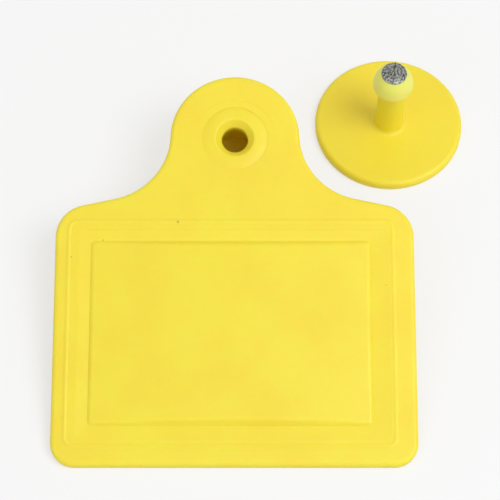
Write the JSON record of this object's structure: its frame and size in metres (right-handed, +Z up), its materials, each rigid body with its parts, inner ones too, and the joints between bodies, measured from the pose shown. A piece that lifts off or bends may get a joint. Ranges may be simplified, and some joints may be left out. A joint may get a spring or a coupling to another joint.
{
  "type": "livestock ear tag",
  "caption": "Livestock ear tag as two loose mouldings: a flat panel with a funnel hole and a closed cap, and a round button stud with a barbed head and a metal point.",
  "frame": {"origin": "centre of the footprint of the two mouldings, on the surface they rest on", "axes": "+Z up; +Y from the panel's bottom edge towards its head; +X from the panel towards the stud"},
  "size_m": [0.0812, 0.09, 0.0243],
  "materials": {
    "yellow_plastic": "satin",
    "point_metal": "dull"
  },
  "bodies": {
    "root": {"tag_panel": "yellow_plastic", "button_stud": "yellow_plastic", "metal_point": "point_metal"}
  },
  "joints": []
}
